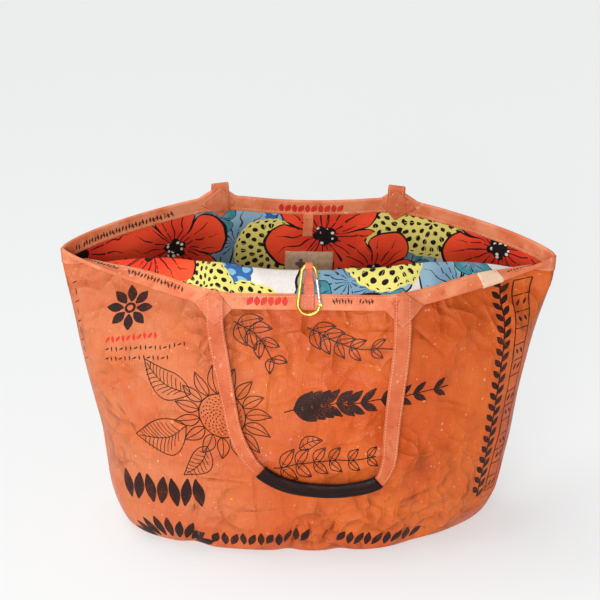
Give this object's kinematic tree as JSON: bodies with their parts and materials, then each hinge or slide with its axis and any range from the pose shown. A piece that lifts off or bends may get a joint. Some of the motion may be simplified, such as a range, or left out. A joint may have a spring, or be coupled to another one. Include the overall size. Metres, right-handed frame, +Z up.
{
  "type": "feed sack tote bag",
  "caption": "Open carrier bag of woven sacking with a printed lining, taped rim, hanging strap handles with grips, and a spring-gate ring on a closing strap.",
  "frame": {"origin": "on the ground plane under the middle of the whole bag's bounding box", "axes": "+Z up; the front, with the turned-out flap and the ring, faces -Y; +X towards the right-hand side corner seen from the front"},
  "size_m": [0.5738, 0.254, 0.3935],
  "materials": {
    "sack": "woven plastic sacking, slightly glossy, creased",
    "lining": "printed plain-weave cotton",
    "binding": "folded tape cut from the same woven plastic",
    "strap": "folded and stitched woven plastic strap",
    "splice": "pale beige woven tape",
    "grip": "dark soft sleeve",
    "label": "tan woven cloth label, bare",
    "ring_wire": "gold coloured, polished",
    "gate_wire": "silver coloured, polished"
  },
  "bodies": {
    "bag": {"sackShell": "sack", "lining": "lining", "rimBinding": "binding", "bindingSplice": "splice", "patchFrontLeft": "binding", "patchFrontRight": "binding", "patchBackRight": "binding", "patchBackLeft": "binding", "handleFront": "strap", "gripFront": "grip", "handleBack": "strap", "gripBack": "grip", "closureStrap": "strap", "clipRing": "ring_wire", "backTab": "binding", "sewnLabel": "label"},
    "gate": {"clipGate": "gate_wire"}
  },
  "joints": [
    {"name": "gateHinge", "type": "hinge", "parent": "bag", "child": "gate", "pos_m": [0.01214, -0.08976, 0.31831], "axis": [0, -0.9128, 0.4085], "range_deg": [0, 20], "stiffness_Nm_per_rad": 0.15, "springref_deg": -17.19}
  ]
}
